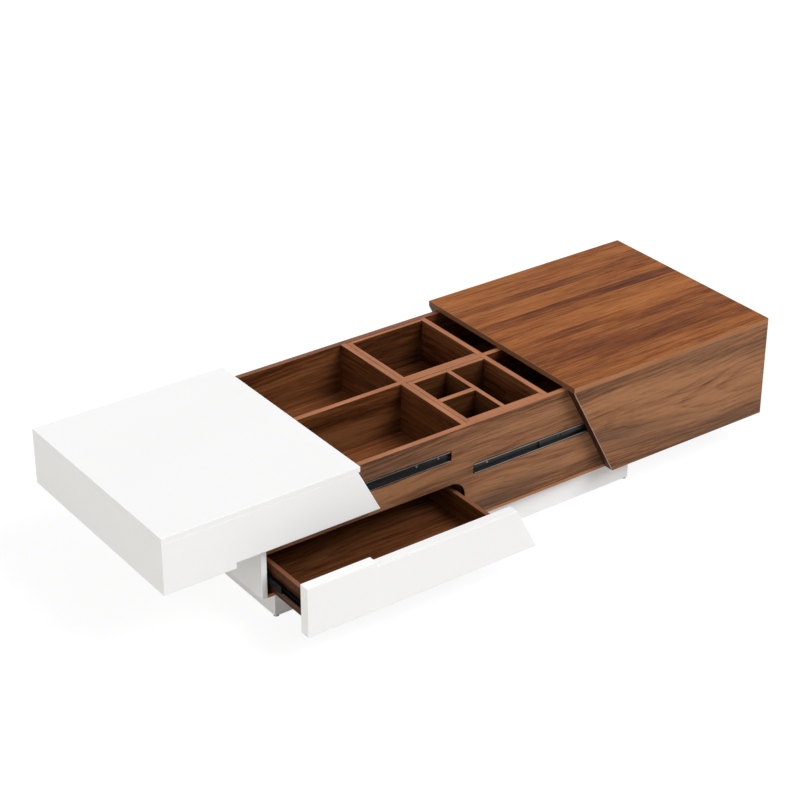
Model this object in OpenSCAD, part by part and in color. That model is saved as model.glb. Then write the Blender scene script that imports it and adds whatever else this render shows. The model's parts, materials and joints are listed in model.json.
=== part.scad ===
// Sliding top coffee table: a walnut storage body on a plinth, a short white cover and a long
// walnut cover that slide apart on ball-bearing slides, and a drawer under the white cover.
// Drawn with both covers open and the drawer part way out. X runs along the table, the drawer
// faces -Y, and Z = 0 is the floor under the middle of the closed table.

/* [Table] */
// Length of the closed table
table_l = 1190; // [1100:10:1400]
// Depth of the table
table_d = 600; // [500:10:700]
// Height of the table
table_h = 365; // [340:5:420]

/* [Pose] */
// How far the white cover is pulled out to the left
white_out = 272; // [0:1:360]
// How far the walnut cover is pulled out to the right
walnut_out = 367; // [0:1:370]
// How far the drawer is pulled out
drawer_out = 161; // [0:1:300]

/* [Covers] */
// Length of the white top board
white_len = 530; // [450:5:560]
// Gap between the two top boards when the table is closed
seam_gap = 2; // [1:0.5:5]
// Thickness of the top boards
top_t = 15; // [12:1:22]
// Thickness of the front and rear boards of the covers
cover_side_t = 28; // [22:1:32]
// Thickness of the end boards of the covers
cover_end_t = 15; // [12:1:20]
// Height of the white cover
white_h = 149; // [140:1:160]
// How far the white front board is cut back for fingers
finger_rise = 15; // [8:1:22]
// Length of the white front board before that cut
finger_start = 190; // [120:5:260]
// Sideways run of the slanted edges for each unit of height
slant_slope = 0.52; // [0.3:0.02:0.6]
// How far the white top board stands past its slanted front board
white_overhang = 5; // [0:1:12]
// How far the walnut top board stands past its slanted front board
walnut_overhang = 0; // [0:1:12]
// Gap between the covers' top boards and the body
top_clear = 2; // [1:0.5:4]
// Gap between the covers' front and rear boards and the body
side_clear = 2; // [1:0.5:2]
// Gap between the covers' end boards and the body
end_clear = 2; // [1:0.5:4]
// How far the walnut cover and the drawer front end above the underside of the body
cover_foot_gap = 2; // [1:0.5:6]

/* [Body] */
// Thickness of the boards of the body
board_t = 15; // [14:1:18]
// Thickness of the bottom board
bottom_t = 9; // [6:1:15]
// Height of the underside of the body above the floor
body_lift = 81; // [65:1:110]
// Depth of the storage compartments
storage_h = 134; // [125:1:140]
// Gap between the lower side panel and the white cover above it
panel_gap = 2; // [1:0.5:4]

/* [Storage] */
// Right face of the board between the left and the middle bay
partition_x = 5; // [-60:5:60]
// Width of the middle bay
middle_w = 236; // [200:1:260]
// Thickness of the tray walls in the middle bay
tray_t = 12; // [9:1:14]
// Thickness of the tray bottoms
tray_floor_t = 15; // [9:1:18]
// Thickness of the back tray's rear wall
tray_rear_t = 9; // [8:1:14]
// Thickness of the front tray's front wall and of the wall between its small cells
cell_t = 15; // [9:1:18]
// Gap between the trays and the left board of the middle bay
tray_gap = 2; // [0.5:0.5:4]
// Gap between the trays and the boards in front and behind
tray_slack = 0.5; // [0.2:0.1:1]
// How far the tray walls end below the rim
tray_drop = 1; // [0.5:0.5:4]
// Place of the wall that splits the front tray, from the bay's left board
cell_wall_x = 118; // [100:1:130]
// Depth of each small cell of the front tray
cell_d = 102; // [85:1:105]
// Play in the cross laps of the boards
lap_play = 0.2; // [0.1:0.1:0.5]

/* [Plinth] */
// How far the plinth is set back from the front and the rear of the table
plinth_inset = 54; // [35:1:80]
// How far the plinth is set back from the ends of the table
plinth_end_inset = 49; // [35:1:80]
// Thickness of the plinth boards
plinth_t = 15; // [15:1:20]
// Diameter of a floor glide
glide_d = 14; // [10:1:15]
// Thickness of a floor glide
glide_t = 3; // [2:0.5:6]

/* [Drawer] */
// Thickness of the drawer front
front_t = 28; // [22:1:32]
// How far the drawer front is cut down for fingers
finger_drop = 11; // [6:1:20]
// How far the drawer front's slanted end stops short of the line of the white cover
front_slant_inset = 5; // [0:1:8]
// Height of the sides of the drawer box
box_h = 75; // [60:1:78]
// Gap under the drawer box
box_lift = 3; // [2:0.5:6]
// Thickness of the boards of the drawer box
box_t = 12; // [10:1:15]
// Length of the drawer box behind its front
box_len = 420; // [380:5:460]
// Thickness of the drawer's bottom board
box_floor_t = 5; // [3:0.5:6]
// Height of the drawer's bottom board above the lower edge of the sides
box_floor_lift = 6; // [5:0.5:12]
// Depth of the groove that holds the drawer's bottom board
box_groove = 5; // [3:0.5:6]
// Radius at the corner of the drawer opening
opening_r = 40; // [20:1:60]
// How far the drawer opening laps over the wall beside the drawer
opening_lap = 2; // [0:0.5:6]

/* [Slides] */
// Height of a slide
slide_h = 27; // [26:0.5:30]
// Thickness of a slide from the body to the moving piece
slide_w = 12.7; // [12.5:0.1:13.5]
// Sheet thickness of the slide members
slide_sheet = 1; // [0.8:0.1:1.1]
// Width of the turned-in lips of the fixed channel
channel_lip = 2.4; // [2:0.1:3]
// Gap between the left end of the body and the white cover's slides, which sets the length of all cover slides
slide_end_gap = 25; // [10:1:60]
// Length of a drawer slide
drawer_slide_l = 350; // [320:10:400]
// How far the middle member starts inside the fixed channel
middle_set = 24; // [15:1:30]
// Height of the slot that a cover slide lies in
slot_h = 31; // [30:0.5:36]
// Radius of the two corners at the closed end of a slot
slot_r = 6; // [3:0.5:7]
// Gap between the closed end of a slot and the slide
slot_end_gap = 3; // [3:0.5:10]
// Right end of the white cover's slot
white_slot_x = -50; // [-90:1:-45]
// Left end of the walnut cover's slot
walnut_slot_x = 17; // [10:1:40]
// Depth below the table top of the white cover's slides
white_slide_drop = 85; // [70:1:100]
// Depth below the table top of the walnut cover's slides
walnut_slide_drop = 145; // [130:1:150]
// Room for the balls between two members of a slide
ball_gap = 2.4; // [2.2:0.1:3.2]
// Free space over the heads of the screws inside a slide
head_room = 0.4; // [0.3:0.1:0.5]
// Distance between the two holes of a pair in a slide
hole_pitch = 15; // [12:1:20]
// First screw of the white cover's slides, from their inner end
white_screw_1 = 30; // [15:1:40]
// Second screw of the white cover's slides, from their inner end
white_screw_2 = 94; // [70:1:120]
// First screw of the walnut cover's slides, from their inner end
walnut_screw_1 = 46; // [15:1:60]
// First screw of the drawer's slides, from their front end
drawer_screw_1 = 35; // [20:1:60]
// Last screw of a slide, from its far end
last_screw = 60; // [40:1:80]
// First hole in the middle members of the white cover's slides
white_middle_hole = 28; // [20:1:60]
// First hole in the middle members of the walnut cover's slides
walnut_middle_hole = 54; // [20:1:60]
// First hole in the middle members of the drawer's slides
drawer_middle_hole = 26; // [20:1:60]
// Diameter of the holes in a slide
hole_d = 4.2; // [4:0.1:4.4]
// Diameter of a screw's shank
screw_d = 3.5; // [3:0.1:3.9]
// Diameter of a screw's head
screw_head_d = 6; // [5:0.1:6.2]
// Thickness of a screw's head
screw_head_t = 1.2; // [0.8:0.1:1.3]
// Length of screw in the body behind a cover slide
body_screw_l = 3.8; // [3:0.1:4]
// Wood left behind the tip of a screw in the drawer and beside it
screw_cover = 3; // [2:0.5:4]

/* [Hidden] */
$fn = 48;

white = [0.95, 0.95, 0.94];
walnut = [0.42, 0.26, 0.16];
walnut_dark = [0.30, 0.18, 0.11];
black_metal = [0.07, 0.07, 0.08];
zinc = [0.70, 0.70, 0.68];
black_plastic = [0.10, 0.10, 0.10];

// Cutting tools reach this far past the face that they cut
over = 1;

// Faces of the closed table
table_x0 = -table_l / 2;
table_x1 = table_l / 2;
half_d = table_d / 2;
cover_z = table_h - top_t;
white_z = table_h - white_h;
walnut_z = body_lift + cover_foot_gap;
seam_x = table_x0 + white_len;
white_slant_x = seam_x - white_overhang;
walnut_slant_x = seam_x + seam_gap + walnut_overhang;
cover_in_y = half_d - cover_side_t;

// Faces of the body
panel_x0 = table_x0 + cover_end_t;
body_x0 = panel_x0 + end_clear;
body_x1 = table_x1 - cover_end_t - end_clear;
body_y = cover_in_y - side_clear;
inner_y = body_y - board_t;
body_z = cover_z - top_clear;
body_z0 = body_lift + bottom_t;
floor_z = body_z - storage_h;
bay_z = floor_z - board_t;
side_panel_z = white_z - panel_gap;

// Faces of the storage bays
left_bay_x0 = body_x0 + board_t;
left_bay_x1 = partition_x - board_t;
right_wall_x = partition_x + middle_w;
right_bay_x0 = right_wall_x + board_t;
right_bay_x1 = body_x1 - board_t;
divider_y = board_t / 2;
lap_z = floor_z + storage_h / 2;
tray_x0 = partition_x + tray_gap;
tray_in_x = tray_x0 + tray_t;
tray_z0 = floor_z + tray_floor_t;
tray_z1 = body_z - tray_drop;
tray_y0 = divider_y + tray_slack;
tray_y1 = inner_y - tray_slack;

// Faces of the plinth
plinth_x = table_x1 - plinth_end_inset;
plinth_y = half_d - plinth_inset;

// Faces of the drawer
bay_wall_x = partition_x - board_t;
box_x0 = panel_x0 + slide_w;
box_x1 = bay_wall_x - slide_w;
box_z0 = body_z0 + box_lift;
box_z1 = box_z0 + box_h;
box_y0 = -cover_in_y;
box_y1 = box_y0 + box_len;
box_floor_z = box_z0 + box_floor_lift;
front_z0 = body_lift + cover_foot_gap;
front_z1 = side_panel_z;
front_low_z = front_z1 - finger_drop;
opening_x = bay_wall_x + opening_lap;

// Section of a slide: depth from the fixed side, and half heights
slide_half = slide_h / 2;
channel_w = slide_w - side_clear;
middle_half = slide_half - slide_sheet - ball_gap;
middle_u0 = slide_sheet + screw_head_t + head_room;
middle_u1 = channel_w - head_room;
rail_half = middle_half - slide_sheet - ball_gap;
rail_u0 = middle_u0 + slide_sheet + 2 * head_room;

// Places of the slides
groove_y = body_y - channel_w;
white_slide_z = table_h - white_slide_drop;
walnut_slide_z = table_h - walnut_slide_drop;
white_slide_x1 = white_slot_x - slot_end_gap;
walnut_slide_x0 = walnut_slot_x + slot_end_gap;
drawer_slide_z = (box_z0 + box_z1) / 2;
drawer_slide_y0 = -body_y + slide_sheet;
middle_short = 2 * middle_set;
cover_slide_l = white_slide_x1 - body_x0 - slide_end_gap;
white_holes = [white_screw_1, white_screw_2, cover_slide_l / 2, cover_slide_l - last_screw];
walnut_holes = [walnut_screw_1, cover_slide_l / 2, cover_slide_l - last_screw];
drawer_holes = [drawer_screw_1, drawer_slide_l / 2, drawer_slide_l - last_screw];
panel_screw_l = board_t - screw_cover;
cover_rail_screw_l = cover_side_t / 2;
box_screw_l = box_t - screw_cover;

// A board between two corners
module slab(low, high) {
    translate(low) cube(high - low);
}

// A board cut from an outline in X and Z, between two depths
module upright(points, y0, y1) {
    translate([0, y1, 0]) rotate([90, 0, 0]) linear_extrude(y1 - y0) polygon(points);
}

// What follows, at the front of the table or mirrored to the rear
module at_front(front) {
    if (front) mirror([0, 1, 0]) children();
    else children();
}

// X of a slanted edge that leaves the underside of the top boards at x
function slant(x, z) = x + slant_slope * (cover_z - z);

// Mitred end board of a cover, its outer face at x and its inner face one thickness towards side
module cover_end(x, side, z0) {
    inner = x + side * cover_end_t;
    translate([0, 0, z0]) linear_extrude(cover_z - z0)
        polygon([[x, -half_d], [inner, -cover_in_y], [inner, cover_in_y], [x, half_d]]);
}

// Wedge that mitres a cover's rear board to its end board, at the end with outer face x
module mitre_cut(x, side) {
    translate([0, 0, body_lift - over]) linear_extrude(table_h)
        polygon([[x, half_d], [x + side * cover_end_t, cover_in_y], [x + side * cover_end_t, cover_in_y - over],
                 [x - side * over, cover_in_y - over], [x - side * over, half_d]]);
}

// Bores along +Y for the screws of a slide, in the board that carries it
module rail_pilots(holes, length) {
    for (s = holes) translate([s, 0, 0]) rotate([-90, 0, 0])
        cylinder(d = screw_d, h = length);
}

// Rear board of the white cover; the front board is its mirror image with the finger cut
module white_side(cut) {
    low = cut ? white_z + finger_rise : white_z;
    start = table_x0 + finger_start;
    step = cut ? [[start, white_z], [start, low]] : [];
    edge = [[slant(white_slant_x, low), low], [white_slant_x, cover_z]];
    difference() {
        upright(concat([[table_x0, white_z]], step, edge, [[table_x0, cover_z]]), cover_in_y, half_d);
        mitre_cut(table_x0, 1);
        translate([white_slide_x1, cover_in_y, white_slide_z]) mirror([1, 0, 0])
            rail_pilots(white_holes, cover_rail_screw_l);
    }
}

// Rear board of the walnut cover; the front board is its mirror image
module walnut_side() {
    difference() {
        upright([[slant(walnut_slant_x, walnut_z), walnut_z], [table_x1, walnut_z],
                 [table_x1, cover_z], [walnut_slant_x, cover_z]], cover_in_y, half_d);
        mitre_cut(table_x1, -1);
        translate([walnut_slide_x0, cover_in_y, walnut_slide_z])
            rail_pilots(walnut_holes, cover_rail_screw_l);
    }
}

module white_top() {
    color(white) translate([-white_out, 0, 0])
        slab([table_x0, -half_d, cover_z], [seam_x, half_d, table_h]);
}

module white_front() {
    color(white) translate([-white_out, 0, 0]) at_front(true) white_side(true);
}

module white_rear() {
    color(white) translate([-white_out, 0, 0]) white_side(false);
}

module white_end() {
    color(white) translate([-white_out, 0, 0]) cover_end(table_x0, 1, white_z);
}

module walnut_top() {
    color(walnut) translate([walnut_out, 0, 0])
        slab([seam_x + seam_gap, -half_d, cover_z], [table_x1, half_d, table_h]);
}

module walnut_front() {
    color(walnut) translate([walnut_out, 0, 0]) at_front(true) walnut_side();
}

module walnut_rear() {
    color(walnut) translate([walnut_out, 0, 0]) walnut_side();
}

module walnut_end() {
    color(walnut) translate([walnut_out, 0, 0]) cover_end(table_x1, -1, walnut_z);
}

// Slot in the rear face of the body, with rounded corners at its closed end x and open past the end of the panel
module slide_slot(x, z, side) {
    h = slot_h / 2;
    corner_x = x - side * slot_r;
    translate([0, groove_y, 0]) {
        for (up = [-1, 1]) translate([corner_x, 0, z + up * (h - slot_r)]) rotate([-90, 0, 0])
            cylinder(r = slot_r, h = channel_w + over);
        slab([side > 0 ? corner_x - over : x, 0, z - h + slot_r],
             [side > 0 ? x : corner_x + over, channel_w + over, z + h - slot_r]);
        slab([side > 0 ? body_x0 - over : corner_x, 0, z - h],
             [side > 0 ? corner_x : body_x1 + over, channel_w + over, z + h]);
    }
}

// Slots and screw bores of both slides in the rear face of the body
module slide_slots() {
    slide_slot(white_slot_x, white_slide_z, 1);
    slide_slot(walnut_slot_x, walnut_slide_z, -1);
    translate([white_slide_x1, groove_y, white_slide_z]) rotate([0, 0, 180])
        rail_pilots(white_holes, body_screw_l);
    translate([walnut_slide_x0, groove_y, walnut_slide_z]) mirror([0, 1, 0])
        rail_pilots(walnut_holes, body_screw_l);
}

// Front panel of the body, cut away at the lower left for the drawer
module front_panel() {
    r = opening_r;
    color(walnut) difference() {
        upright([[body_x0, bay_z], [opening_x - r, bay_z], [opening_x - r, bay_z - r], [opening_x, bay_z - r],
                 [opening_x, body_z0], [body_x1, body_z0], [body_x1, body_z], [body_x0, body_z]],
                -body_y, -inner_y);
        translate([opening_x - r, -body_y - over, bay_z - r]) rotate([-90, 0, 0])
            cylinder(r = r, h = board_t + 2 * over);
        at_front(true) slide_slots();
    }
}

// Rear panel of the body; its lower part reaches the side panel
module rear_panel() {
    color(walnut) difference() {
        upright([[panel_x0, body_z0], [body_x1, body_z0], [body_x1, body_z], [body_x0, body_z],
                 [body_x0, side_panel_z], [panel_x0, side_panel_z]], inner_y, body_y);
        slide_slots();
    }
}

module left_end_panel() {
    color(walnut) slab([body_x0, -inner_y, floor_z], [left_bay_x0, inner_y, body_z]);
}

module right_end_panel() {
    color(walnut) slab([right_bay_x1, -inner_y, body_z0], [body_x1, inner_y, body_z]);
}

module storage_floor() {
    color(walnut_dark) slab([panel_x0, -inner_y, bay_z], [right_bay_x1, inner_y, floor_z]);
}

module bottom_board() {
    color(walnut) slab([panel_x0, -body_y, body_lift], [body_x1, body_y, body_z0]);
}

// Board across the body at x, notched from above for the centre divider
module partition(x) {
    color(walnut) difference() {
        slab([x, -inner_y, floor_z], [x + board_t, inner_y, body_z]);
        slab([x - over, -divider_y - lap_play, lap_z], [x + board_t + over, divider_y + lap_play, body_z + over]);
    }
}

module left_partition() {
    partition(left_bay_x1);
}

module right_partition() {
    partition(right_wall_x);
}

// Board along the middle of the storage, notched from below for the partitions
module centre_divider() {
    color(walnut) difference() {
        slab([left_bay_x0, -divider_y, floor_z], [right_bay_x1, divider_y, body_z]);
        for (x = [left_bay_x1, right_wall_x])
            slab([x - lap_play, -half_d, floor_z - over], [x + board_t + lap_play, half_d, lap_z]);
    }
}

// White panel that closes the left side below the white cover
module side_panel() {
    color(white) difference() {
        slab([table_x0, -body_y, body_lift], [panel_x0, body_y, side_panel_z]);
        drawer_pilots(panel_x0, -1, panel_screw_l);
    }
}

// Board that stands beside the drawer, under the storage floor
module drawer_bay_wall() {
    color(walnut_dark) difference() {
        slab([bay_wall_x, -inner_y, body_z0], [partition_x, inner_y, bay_z]);
        drawer_pilots(bay_wall_x, 1, panel_screw_l);
    }
}

// Screw bores of a drawer slide, into the board whose face is at x
module drawer_pilots(x, side, length) {
    for (s = drawer_holes) translate([x, drawer_slide_y0 + s, drawer_slide_z]) rotate([0, side * 90, 0])
        cylinder(d = screw_d, h = length);
}

module back_tray_bottom() {
    color(walnut_dark) slab([tray_x0, tray_y0, floor_z], [right_wall_x, tray_y1, tray_z0]);
}

module back_tray_left() {
    color(walnut) slab([tray_x0, tray_y0, tray_z0], [tray_in_x, tray_y1, tray_z1]);
}

module back_tray_back() {
    color(walnut) slab([tray_in_x, tray_y1 - tray_rear_t, tray_z0], [right_wall_x, tray_y1, tray_z1]);
}

module back_tray_front() {
    color(walnut) slab([tray_in_x, tray_y0, tray_z0], [right_wall_x, tray_y0 + tray_t, tray_z1]);
}

module front_tray_bottom() {
    color(walnut_dark) slab([tray_x0, -tray_y1, floor_z], [right_wall_x, -tray_y0, tray_z0]);
}

module front_tray_left() {
    color(walnut) slab([tray_x0, -tray_y1, tray_z0], [tray_in_x, -tray_y0, tray_z1]);
}

module front_tray_back() {
    color(walnut) slab([tray_in_x, -tray_y0 - tray_t, tray_z0], [right_wall_x, -tray_y0, tray_z1]);
}

module front_tray_front() {
    color(walnut) slab([tray_in_x, -tray_y1, tray_z0], [right_wall_x, -tray_y1 + cell_t, tray_z1]);
}

// Wall between the small cells and the long cell
module cell_wall_long() {
    x = partition_x + cell_wall_x;
    color(walnut) slab([x, -tray_y1 + cell_t, tray_z0], [x + tray_t, -tray_y0 - tray_t, tray_z1]);
}

// Wall between the two small cells
module cell_wall_short() {
    y = -tray_y0 - tray_t - cell_d;
    color(walnut) slab([tray_in_x, y - cell_t, tray_z0], [partition_x + cell_wall_x, y, tray_z1]);
}

module plinth_front() {
    color(white) slab([-plinth_x, -plinth_y, glide_t], [plinth_x, -plinth_y + plinth_t, body_lift]);
}

module plinth_rear() {
    color(white) slab([-plinth_x, plinth_y - plinth_t, glide_t], [plinth_x, plinth_y, body_lift]);
}

module plinth_left() {
    color(white) slab([-plinth_x, -plinth_y + plinth_t, glide_t], [-plinth_x + plinth_t, plinth_y - plinth_t, body_lift]);
}

module plinth_right() {
    color(white) slab([plinth_x - plinth_t, -plinth_y + plinth_t, glide_t], [plinth_x, plinth_y - plinth_t, body_lift]);
}

// Board across the middle of the plinth
module plinth_stretcher() {
    color(white) slab([-plinth_t / 2, -plinth_y + plinth_t, glide_t], [plinth_t / 2, plinth_y - plinth_t, body_lift]);
}

// Round pads under the plinth: three along the front, three along the rear and one in the middle
module floor_glides() {
    x = plinth_x - plinth_t / 2;
    y = plinth_y - plinth_t / 2;
    color(black_plastic) for (p = [[-x, -y], [0, -y], [x, -y], [0, 0], [-x, y], [0, y], [x, y]])
        translate([p[0], p[1], 0]) cylinder(d = glide_d, h = glide_t);
}

// Slot round the drawer's bottom board
module box_floor_slot() {
    slab([box_x0 + box_t - box_groove, box_y0 - box_groove, box_floor_z],
         [box_x1 - box_t + box_groove, box_y1 - box_t + box_groove, box_floor_z + box_floor_t]);
}

// Drawer front, high at its left end, cut down for fingers, with a slanted right end
module drawer_front() {
    end_x = slant(white_slant_x, cover_z) - front_slant_inset;
    step_x = table_x0 + finger_start;
    color(white) translate([0, -drawer_out, 0]) difference() {
        upright([[table_x0, front_z0], [slant(end_x, front_z0), front_z0], [slant(end_x, front_low_z), front_low_z],
                 [step_x, front_low_z], [step_x, front_z1], [table_x0, front_z1]], -cover_in_y - front_t, -cover_in_y);
        box_floor_slot();
    }
}

// Side of the drawer box between two x
module box_side(x0, x1) {
    color(walnut) translate([0, -drawer_out, 0]) difference() {
        slab([x0, box_y0, box_z0], [x1, box_y1, box_z1]);
        box_floor_slot();
        children();
    }
}

module drawer_left_side() {
    box_side(box_x0, box_x0 + box_t) drawer_pilots(box_x0, 1, box_screw_l);
}

module drawer_right_side() {
    box_side(box_x1 - box_t, box_x1) drawer_pilots(box_x1, -1, box_screw_l);
}

module drawer_back() {
    color(walnut) translate([0, -drawer_out, 0]) difference() {
        slab([box_x0 + box_t, box_y1 - box_t, box_z0], [box_x1 - box_t, box_y1, box_z1]);
        box_floor_slot();
    }
}

module drawer_bottom() {
    color(walnut_dark) translate([0, -drawer_out, 0]) box_floor_slot();
}

// Section of the fixed channel: depth across, height up
module channel_section() {
    h = slide_half;
    t = slide_sheet;
    w = channel_w;
    polygon([[0, -h], [w, -h], [w, -h + channel_lip], [w - t, -h + channel_lip], [w - t, -h + t], [t, -h + t],
             [t, h - t], [w - t, h - t], [w - t, h - channel_lip], [w, h - channel_lip], [w, h], [0, h]]);
}

// Section of the middle member
module middle_section() {
    h = middle_half;
    t = slide_sheet;
    polygon([[middle_u0, -h], [middle_u1, -h], [middle_u1, -h + t], [middle_u0 + t, -h + t],
             [middle_u0 + t, h - t], [middle_u1, h - t], [middle_u1, h], [middle_u0, h]]);
}

// Section of the rail on the moving piece
module rail_section() {
    h = rail_half;
    t = slide_sheet;
    polygon([[rail_u0, -h], [slide_w, -h], [slide_w, h], [rail_u0, h], [rail_u0, h - t], [slide_w - t, h - t],
             [slide_w - t, -h + t], [rail_u0, -h + t]]);
}

// Length of slide section with pairs of holes through the web at depth u, along +X
module member(length, holes, u) {
    difference() {
        rotate([90, 0, 90]) linear_extrude(length) children();
        for (s = holes, d = [0, hole_pitch]) translate([s + d, u - over, 0]) rotate([-90, 0, 0])
            cylinder(d = hole_d, h = slide_sheet + 2 * over);
    }
}

module channel(length, holes) {
    color(black_metal) member(length, holes, 0) channel_section();
}

module middle(length, hole) {
    color(black_metal) member(length, [hole, length - hole - hole_pitch], middle_u0) middle_section();
}

module rail(length, holes) {
    color(black_metal) member(length, holes, slide_w - slide_sheet) rail_section();
}

// Screw with a flat head on the plane y = 0, its shank along +Y
module screw(length) {
    rotate([-90, 0, 0]) {
        cylinder(d = screw_d, h = length);
        translate([0, 0, -screw_head_t]) cylinder(d = screw_head_d, h = screw_head_t);
    }
}

// Frame of a white cover slide: +X runs from its right end to the left, +Y out of the body
module white_slide(front) {
    at_front(front) translate([white_slide_x1, groove_y, white_slide_z]) mirror([1, 0, 0]) children();
}

// Frame of a walnut cover slide: +X runs from its left end to the right, +Y out of the body
module walnut_slide(front) {
    at_front(front) translate([walnut_slide_x0, groove_y, walnut_slide_z]) children();
}

// Frame of a drawer slide: +X runs from its front end to the back, +Y towards the drawer
module drawer_slide(left) {
    if (left)
        translate([panel_x0, drawer_slide_y0, drawer_slide_z]) mirror([1, -1, 0]) children();
    else
        translate([bay_wall_x, drawer_slide_y0, drawer_slide_z]) rotate([0, 0, 90]) children();
}

module white_slide_channels() {
    for (front = [true, false]) white_slide(front) channel(cover_slide_l, white_holes);
}

module walnut_slide_channels() {
    for (front = [true, false]) walnut_slide(front) channel(cover_slide_l, walnut_holes);
}

module drawer_slide_channels() {
    for (left = [true, false]) drawer_slide(left) channel(drawer_slide_l, drawer_holes);
}

// Middle members stand half way between the fixed channel and the rail
module cover_middle(out, hole) {
    translate([middle_set + out / 2, 0, 0]) middle(cover_slide_l - middle_short, hole);
}

module white_front_middle() {
    white_slide(true) cover_middle(white_out, white_middle_hole);
}

module white_rear_middle() {
    white_slide(false) cover_middle(white_out, white_middle_hole);
}

module walnut_front_middle() {
    walnut_slide(true) cover_middle(walnut_out, walnut_middle_hole);
}

module walnut_rear_middle() {
    walnut_slide(false) cover_middle(walnut_out, walnut_middle_hole);
}

module drawer_middle(left) {
    drawer_slide(left) translate([middle_set - drawer_out / 2, 0, 0])
        middle(drawer_slide_l - middle_short, drawer_middle_hole);
}

module drawer_left_middle() {
    drawer_middle(true);
}

module drawer_right_middle() {
    drawer_middle(false);
}

module white_front_rail() {
    white_slide(true) translate([white_out, 0, 0]) rail(cover_slide_l, white_holes);
}

module white_rear_rail() {
    white_slide(false) translate([white_out, 0, 0]) rail(cover_slide_l, white_holes);
}

module walnut_front_rail() {
    walnut_slide(true) translate([walnut_out, 0, 0]) rail(cover_slide_l, walnut_holes);
}

module walnut_rear_rail() {
    walnut_slide(false) translate([walnut_out, 0, 0]) rail(cover_slide_l, walnut_holes);
}

module drawer_left_rail() {
    drawer_slide(true) translate([-drawer_out, 0, 0]) rail(drawer_slide_l, drawer_holes);
}

module drawer_right_rail() {
    drawer_slide(false) translate([-drawer_out, 0, 0]) rail(drawer_slide_l, drawer_holes);
}

// Screws that hold a fixed channel: heads on its web, shanks into the body
module channel_screw_row(holes, length) {
    for (s = holes) translate([s, slide_sheet, 0]) mirror([0, 1, 0]) screw(length + slide_sheet);
}

// Screws that hold a rail: heads inside it, shanks into the moving piece
module rail_screw_row(holes, length) {
    for (s = holes) translate([s, slide_w - slide_sheet, 0]) screw(length + slide_sheet);
}

module channel_screws() {
    color(zinc) {
        for (front = [true, false]) {
            white_slide(front) channel_screw_row(white_holes, body_screw_l);
            walnut_slide(front) channel_screw_row(walnut_holes, body_screw_l);
        }
        for (left = [true, false]) drawer_slide(left) channel_screw_row(drawer_holes, panel_screw_l);
    }
}

module white_rail_screws() {
    color(zinc) for (front = [true, false])
        white_slide(front) translate([white_out, 0, 0]) rail_screw_row(white_holes, cover_rail_screw_l);
}

module walnut_rail_screws() {
    color(zinc) for (front = [true, false])
        walnut_slide(front) translate([walnut_out, 0, 0]) rail_screw_row(walnut_holes, cover_rail_screw_l);
}

module drawer_rail_screws() {
    color(zinc) for (left = [true, false])
        drawer_slide(left) translate([-drawer_out, 0, 0]) rail_screw_row(drawer_holes, box_screw_l);
}

white_top();
white_front();
white_rear();
white_end();
walnut_top();
walnut_front();
walnut_rear();
walnut_end();
front_panel();
rear_panel();
left_end_panel();
right_end_panel();
storage_floor();
bottom_board();
left_partition();
right_partition();
centre_divider();
side_panel();
drawer_bay_wall();
back_tray_bottom();
back_tray_left();
back_tray_back();
back_tray_front();
front_tray_bottom();
front_tray_left();
front_tray_back();
front_tray_front();
cell_wall_long();
cell_wall_short();
plinth_front();
plinth_rear();
plinth_left();
plinth_right();
plinth_stretcher();
floor_glides();
drawer_front();
drawer_left_side();
drawer_right_side();
drawer_back();
drawer_bottom();
white_slide_channels();
walnut_slide_channels();
drawer_slide_channels();
white_front_middle();
white_rear_middle();
walnut_front_middle();
walnut_rear_middle();
drawer_left_middle();
drawer_right_middle();
white_front_rail();
white_rear_rail();
walnut_front_rail();
walnut_rear_rail();
drawer_left_rail();
drawer_right_rail();
channel_screws();
white_rail_screws();
walnut_rail_screws();
drawer_rail_screws();
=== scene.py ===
"""Looks of the sliding top coffee table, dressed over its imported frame.

The boards are eased copies of the frame's boards with walnut decor, edging or a white coat, the slides are
eased copies in black steel, and the screws get pan heads with a cross recess. All lengths are in metres, in
the frame's axes: X along the table, the drawer opens towards -Y, and the floor is at Z = 0.
"""

from __future__ import annotations

import json
import logging
import math
from collections.abc import Iterable, Sequence
from dataclasses import dataclass
from enum import Enum, IntEnum

import bmesh
import bpy
import numpy as np
from mathutils import Matrix, Vector

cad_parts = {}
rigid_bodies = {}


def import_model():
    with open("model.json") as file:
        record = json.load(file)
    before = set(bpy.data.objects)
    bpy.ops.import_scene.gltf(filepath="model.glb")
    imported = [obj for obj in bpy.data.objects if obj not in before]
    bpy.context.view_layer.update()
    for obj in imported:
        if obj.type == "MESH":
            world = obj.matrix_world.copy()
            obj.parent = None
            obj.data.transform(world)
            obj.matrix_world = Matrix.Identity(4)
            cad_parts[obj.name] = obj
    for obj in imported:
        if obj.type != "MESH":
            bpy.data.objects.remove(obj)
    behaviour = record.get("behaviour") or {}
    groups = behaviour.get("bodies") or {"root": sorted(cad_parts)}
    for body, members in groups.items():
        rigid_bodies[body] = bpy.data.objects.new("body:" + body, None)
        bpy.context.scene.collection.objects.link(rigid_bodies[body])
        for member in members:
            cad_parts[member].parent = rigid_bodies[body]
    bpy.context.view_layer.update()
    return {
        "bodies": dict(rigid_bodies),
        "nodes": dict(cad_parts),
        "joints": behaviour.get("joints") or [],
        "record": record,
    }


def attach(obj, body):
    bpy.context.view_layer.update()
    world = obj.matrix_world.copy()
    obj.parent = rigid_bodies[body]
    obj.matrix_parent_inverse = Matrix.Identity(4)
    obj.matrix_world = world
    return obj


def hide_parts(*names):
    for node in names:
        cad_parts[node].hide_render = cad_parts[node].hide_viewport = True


log = logging.getLogger("coffee_table")

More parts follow.
